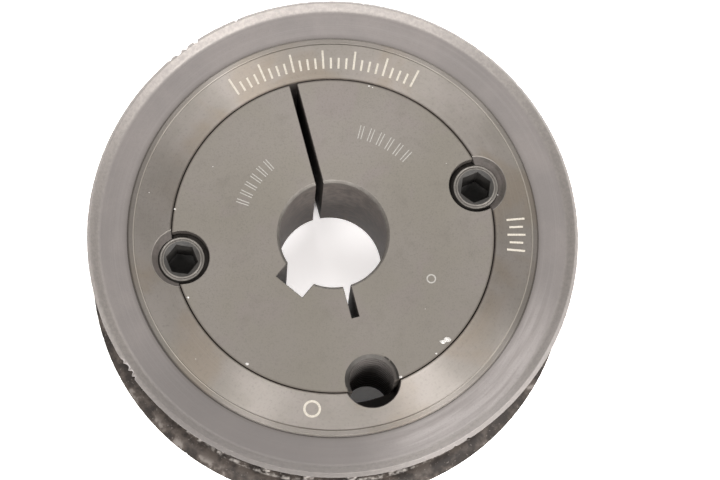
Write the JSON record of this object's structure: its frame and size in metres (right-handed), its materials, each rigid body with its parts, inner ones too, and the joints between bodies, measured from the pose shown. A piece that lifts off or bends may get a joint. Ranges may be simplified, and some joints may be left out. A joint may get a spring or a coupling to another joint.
{
  "type": "timing belt pulley",
  "caption": "Flanged toothed-belt pulley clamped on its shaft by a split taper bush with two socket set screws and a jacking hole.",
  "frame": {"origin": "on the axis, midway along the hub: the centre of the bounding box, and the belt's mid-plane", "axes": "+Z along the axis, out of the face with the set screws (the taper's large end); +Y roughly along the bush's split, +X towards the right set screw"},
  "size_m": [0.087, 0.087, 0.0262],
  "materials": {
    "hub_steel": "turned, dark phosphated",
    "flange_steel": "pressed sheet, dark phosphated, worn bright at the lip",
    "bush_steel": "matt, dark phosphated",
    "screw_steel": "black oxide, worn bright on the ring"
  },
  "bodies": {
    "pulley": {"pulley_body": "hub_steel", "front_flange": "flange_steel", "rear_flange": "flange_steel"},
    "bush": {"taper_bush": "bush_steel"},
    "left_screw": {"set_screw_left": "screw_steel"},
    "right_screw": {"set_screw_right": "screw_steel"}
  },
  "joints": [
    {"name": "bush_release", "type": "slide", "parent": "pulley", "child": "bush", "axis": [0, 0, 1], "range_m": [0, 0.008]},
    {"name": "left_screw_turn", "type": "hinge", "parent": "bush", "child": "left_screw", "pos_m": [-0.02679, -0.00329, 0], "axis": [0, 0, 1], "range_deg": [0, 1815]},
    {"name": "right_screw_turn", "type": "hinge", "parent": "bush", "child": "right_screw", "pos_m": [0.02573, 0.00816, 0], "axis": [0, 0, 1], "range_deg": [0, 1815]}
  ],
  "couplings": [
    {"joint": "left_screw_turn", "follows": "bush_release", "rad_per_m": 3957.9},
    {"joint": "right_screw_turn", "follows": "bush_release", "rad_per_m": 3957.9}
  ]
}
